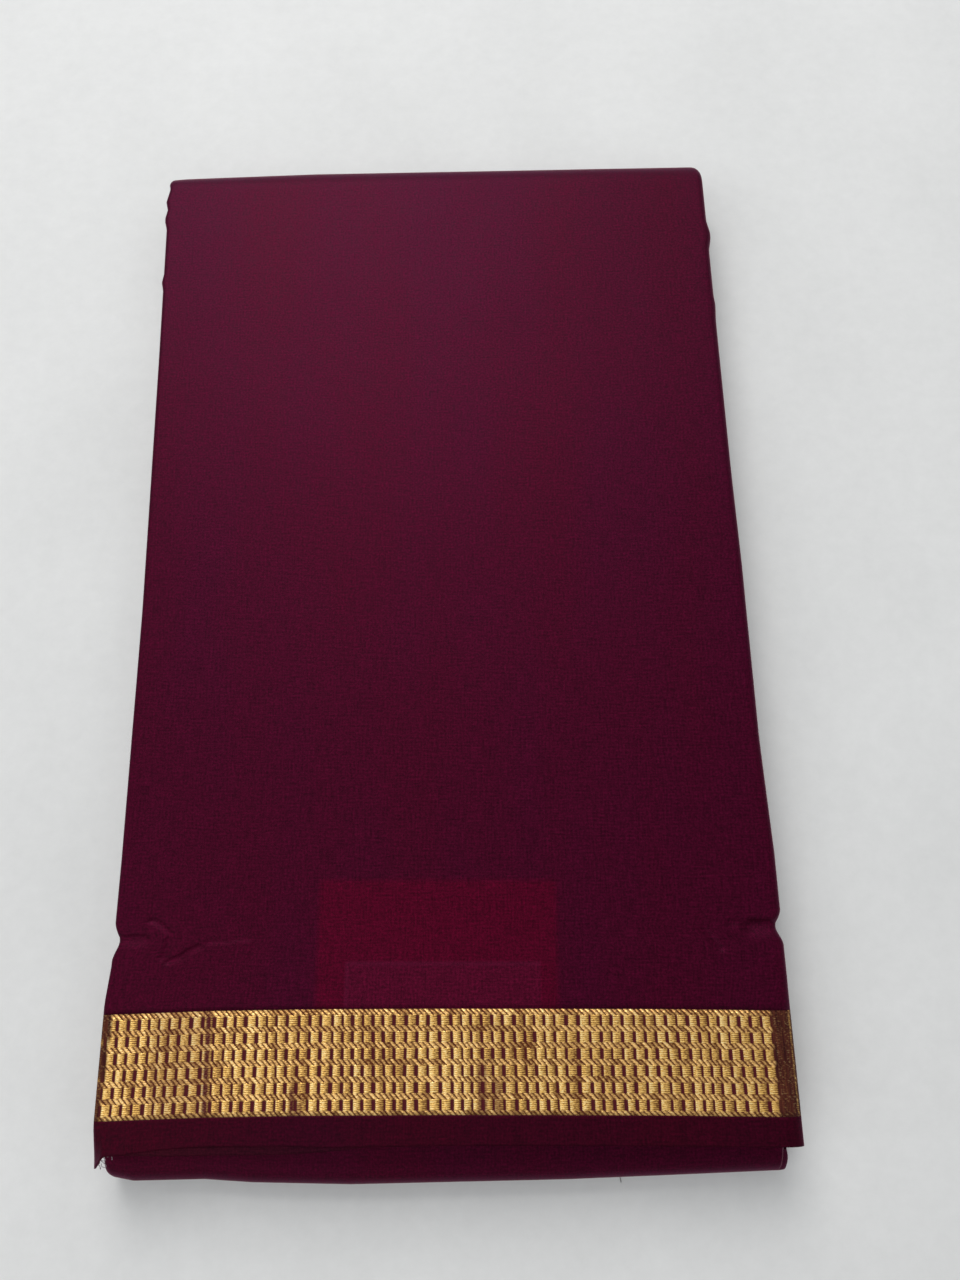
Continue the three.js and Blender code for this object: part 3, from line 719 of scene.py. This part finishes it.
def layered_silk(name):
    """Silk seen at its folds, gold where the borders of the two upper strips come round."""
    silk = Finish(name)
    place = silk.node("TexCoord").outputs["Object"]
    _, y, z = silk.apart(place)
    streaks = silk.mottle(place, (3, 6, 0.35), 3, 0.6)
    fine = silk.mottle(place, (0.8, 0.8, 0.12), 2, 0.5)
    colour = silk.mixed(silk.spread(streaks, 0.35, 0.65), LAYER_DARK, LAYER_LIGHT)
    in_border = silk.sum("MULTIPLY", silk.spread(y, -0.1343, -0.1339),
                         silk.spread(y, -0.1086, -0.1090))
    in_border = silk.sum("MULTIPLY", in_border, silk.spread(z, 0.0098, 0.0101))
    gold = silk.mixed(silk.spread(streaks, 0.4, 0.6), FOLDED_GOLD, FOLDED_GOLD_LIGHT)
    colour = silk.mixed(in_border, colour, gold)
    silk.feed(silk.surface.inputs["Base Color"], colour)
    silk.feed(silk.surface.inputs["Metallic"], silk.sum("MULTIPLY", in_border, 0.6))
    silk.surface.inputs["Roughness"].default_value = 0.6
    silk.surface.inputs["Specular IOR Level"].default_value = 0.08
    silk.surface.inputs["Specular Tint"].default_value = (1.0, 0.45, 0.30, 1)
    silk.surface.inputs["Sheen Weight"].default_value = 0.12
    silk.surface.inputs["Sheen Roughness"].default_value = 0.28
    silk.surface.inputs["Sheen Tint"].default_value = (1.0, 0.42, 0.30, 1)
    relief = silk.sum("MULTIPLY_ADD", fine, 0.4, streaks)
    silk.feed(silk.surface.inputs["Normal"], silk.raised(relief, 0.12, 0.5))
    return silk.material


folded_layers.data.materials.clear()
folded_layers.data.materials.append(layered_silk("layered_silk"))
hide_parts("hidden_layers")
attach(folded_layers, "root")


# The cut edges of single layers at the near end of the two upper strips. The weaver's selvedges
# lie over each other, each a little longer or shorter than the next.
# The same silk, painted nearly black: painted shade in the narrow gaps between the layers
SHADED_EDGE_WINE = (0.0100, 0.0004, 0.0022, 1)
SHADED_EDGE_PURPLE = (0.0060, 0.0003, 0.0018, 1)
LEAF_APART = 0.42


def leaf(name, z, edge_y, k):
    across = [(x, 0.0) for x in steps((-85.2, 86.6, 4.2))]
    grid = laid(name, lambda y, z: across, level(steps((edge_y, -133, 2.4)), z, 1))
    for v in grid.data.vertices:
        x = v.co.x * 1000
        front = eased(-v.co.y * 1000, 134, -edge_y)
        v.co.y += 0.001 * front * (wander(x, k, 0.7) + 0.25 * math.sin(k * 2.1))
        v.co.z += 0.001 * front * 0.12 * noise.noise(Vector((x * 0.07, k, 2.2)))
    thickened(grid, 0.2, 0)
    return grid


leaves = [leaf(f"leaf_{k}", 15.3 + LEAF_APART * k, TOP_EDGE_Y + 1.7, k) for k in range(8)]
leaves += [leaf(f"low_leaf_{k}", 10.6 + LEAF_APART * k, LOWER_EDGE_Y + 1.6, k + 20) for k in range(7)]
bpy.ops.object.select_all(action="DESELECT")
for each in leaves:
    each.select_set(True)
bpy.context.view_layer.objects.active = leaves[0]
bpy.ops.object.join()
selvedge_leaves = bpy.context.object
selvedge_leaves.name = selvedge_leaves.data.name = "selvedge_leaves"
selvedge_leaves.data.materials.clear()
selvedge_leaves.data.materials.append(wine_silk("wine_silk_edges_shaded", SHADED_EDGE_WINE, SHADED_EDGE_PURPLE))
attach(selvedge_leaves, "root")


# A few pale warp ends have frayed out of the hanging corner, in small open loops, and one loose
# dark fibre lies out from the foot of the near fold.
def thread(name, points, thick):
    curve = bpy.data.curves.new(name, "CURVE")
    curve.dimensions = "3D"
    curve.bevel_depth = thick * 0.0005
    curve.bevel_resolution = 1
    curve.resolution_u = 6
    line = curve.splines.new("NURBS")
    line.points.add(len(points) - 1)
    for p, (x, y, z) in zip(line.points, points):
        p.co = (x * 0.001, y * 0.001, z * 0.001, 1)
    line.use_endpoint_u = True
    line.order_u = 4
    made = bpy.data.objects.new(name, curve)
    bpy.context.scene.collection.objects.link(made)
    bpy.ops.object.select_all(action="DESELECT")
    made.select_set(True)
    bpy.context.view_layer.objects.active = made
    bpy.ops.object.convert(target="MESH")
    return bpy.context.object


def plain_thread(name, colour):
    strand = Finish(name)
    place = strand.node("TexCoord").outputs["Object"]
    twist = strand.mottle(place, (0.25, 0.25, 0.25), 1)
    darker = tuple(c * 0.6 for c in colour[:3]) + (1,)
    strand.feed(strand.surface.inputs["Base Color"], strand.mixed(twist, darker, colour))
    strand.surface.inputs["Roughness"].default_value = 0.7
    return strand.material


frays = [
    ((-85.2, -141.2, 17.6), (-85.9, -141.9, 18.3), (-86.4, -142.5, 17.2), (-85.7, -142.9, 16.2),
     (-85.1, -142.4, 16.8), (-85.6, -141.8, 17.5)),
    ((-86.2, -142.3, 17.8), (-85.2, -143.2, 17.3), (-84.9, -144.0, 16.4), (-85.8, -144.5, 15.9),
     (-86.5, -143.9, 16.5), (-86.1, -143.2, 17.2)),
    ((-84.5, -140.9, 17.9), (-84.1, -141.7, 17.2), (-84.8, -142.1, 16.5), (-85.3, -141.5, 16.9)),
    ((-86.6, -143.1, 17.9), (-86.0, -144.1, 17.3), (-86.4, -145.0, 16.2), (-87.0, -144.5, 15.6)),
    ((-84.0, -141.0, 17.5), (-83.5, -141.8, 17.0), (-83.9, -142.6, 16.2)),
]
threads = [thread(f"fray_{k}", points, 0.16) for k, points in enumerate(frays)]
bpy.ops.object.select_all(action="DESELECT")
for each in threads:
    each.select_set(True)
bpy.context.view_layer.objects.active = threads[0]
bpy.ops.object.join()
frayed_threads = bpy.context.object
frayed_threads.name = frayed_threads.data.name = "frayed_threads"
frayed_threads.data.materials.clear()
frayed_threads.data.materials.append(plain_thread("pale_thread", (0.42, 0.34, 0.38, 1)))
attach(frayed_threads, "root")

fibre_line = ((43.6, -149.5, 0.6), (43.9, -151.2, 0.4), (44.5, -153.0, 0.25), (44.6, -154.4, 0.2))
loose_fibre = thread("loose_fibre", fibre_line, 0.14)
loose_fibre.data.materials.clear()
loose_fibre.data.materials.append(plain_thread("dark_fibre", (0.05, 0.02, 0.02, 1)))
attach(loose_fibre, "root")


# The floor, a plain pale sheet that isn't part of the saree, and soft light from high on the left.
bpy.ops.object.select_all(action="DESELECT")
bpy.ops.mesh.primitive_plane_add(size=6, location=(0, 0, 0))
floor = bpy.context.object
floor.name = floor.data.name = "floor"
pale = Finish("pale_floor")
ground = pale.node("TexCoord").outputs["Object"]
cloudy = pale.sum("MULTIPLY_ADD", pale.mottle(ground, (5, 5, 5), 4, 0.7), 0.5,
                 pale.sum("MULTIPLY", pale.mottle(ground, (45, 60, 45), 2), 0.5))
pale.feed(pale.surface.inputs["Base Color"],
          pale.mixed(pale.spread(cloudy, 0.3, 0.7), (0.70, 0.705, 0.70, 1), (0.77, 0.775, 0.77, 1)))
pale.surface.inputs["Roughness"].default_value = 0.85
pale.surface.inputs["Specular IOR Level"].default_value = 0.2
floor.data.materials.append(pale.material)


def soft_light(name, place, towards, size, power, colour=(1, 1, 1)):
    lamp = bpy.data.lights.new(name, "AREA")
    lamp.shape = "DISK"
    lamp.size = size
    lamp.energy = power
    lamp.color = colour
    made = bpy.data.objects.new(name, lamp)
    made.location = place
    made.rotation_euler = (Vector(towards) - Vector(place)).to_track_quat("-Z", "Y").to_euler()
    bpy.context.scene.collection.objects.link(made)


soft_light("window", (-0.19, 0.98, 1.02), (0, 0, 0), 0.9, 12.0, (1.0, 0.99, 0.98))
soft_light("left_wall", (-1.0, -0.2, 1.0), (0, 0, 0), 0.9, 1.6)
soft_light("near_wall", (-0.5, -0.8, 1.2), (0, 0, 0), 0.9, 2.9)
world = bpy.data.worlds.new("room")
world.use_nodes = True
world.node_tree.nodes["Background"].inputs[0].default_value = (0.96, 0.98, 1.0, 1)
world.node_tree.nodes["Background"].inputs[1].default_value = 0.45
bpy.context.scene.world = world
